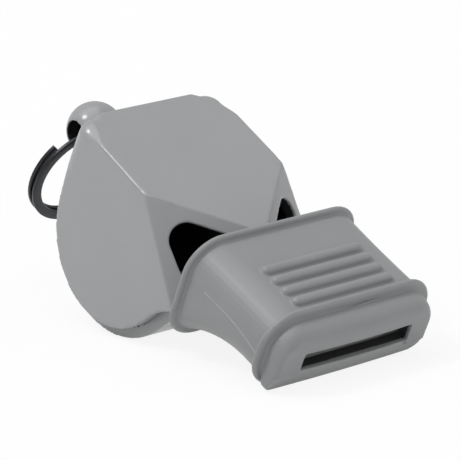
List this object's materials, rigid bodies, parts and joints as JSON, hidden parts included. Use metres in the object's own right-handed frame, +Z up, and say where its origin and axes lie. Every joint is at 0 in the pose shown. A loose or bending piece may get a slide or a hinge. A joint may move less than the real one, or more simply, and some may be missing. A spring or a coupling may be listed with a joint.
{
  "type": "whistle",
  "caption": "Pealess sports whistle with a drum-shaped hollow body, corner sound windows, a ribbed soft mouth grip and a split ring on its rear lug.",
  "frame": {"origin": "middle of the bounding box at floor level, with the whistle lying on its belly and on the front bead of the grip", "axes": "+Z up; +Y from the mouth end to the ring end along the floor; +X to the whistle's right, across its width"},
  "size_m": [0.027, 0.059, 0.0265],
  "materials": {
    "body_plastic": "satin moulded",
    "cover_plastic": "satin moulded",
    "divider_plastic": "as moulded",
    "grip_rubber": "matte soft touch",
    "ring_steel": "black, slightly glossy"
  },
  "bodies": {
    "whistle": {"upper_body": "body_plastic", "lower_cover": "cover_plastic", "air_divider": "divider_plastic", "mouth_grip": "grip_rubber"},
    "ring": {"split_ring": "ring_steel"}
  },
  "joints": [
    {"name": "ring_swing", "type": "hinge", "parent": "whistle", "child": "ring", "pos_m": [0, 0.02167, 0.02096], "axis": [1, 0, 0], "range_deg": [-52, 207]}
  ]
}
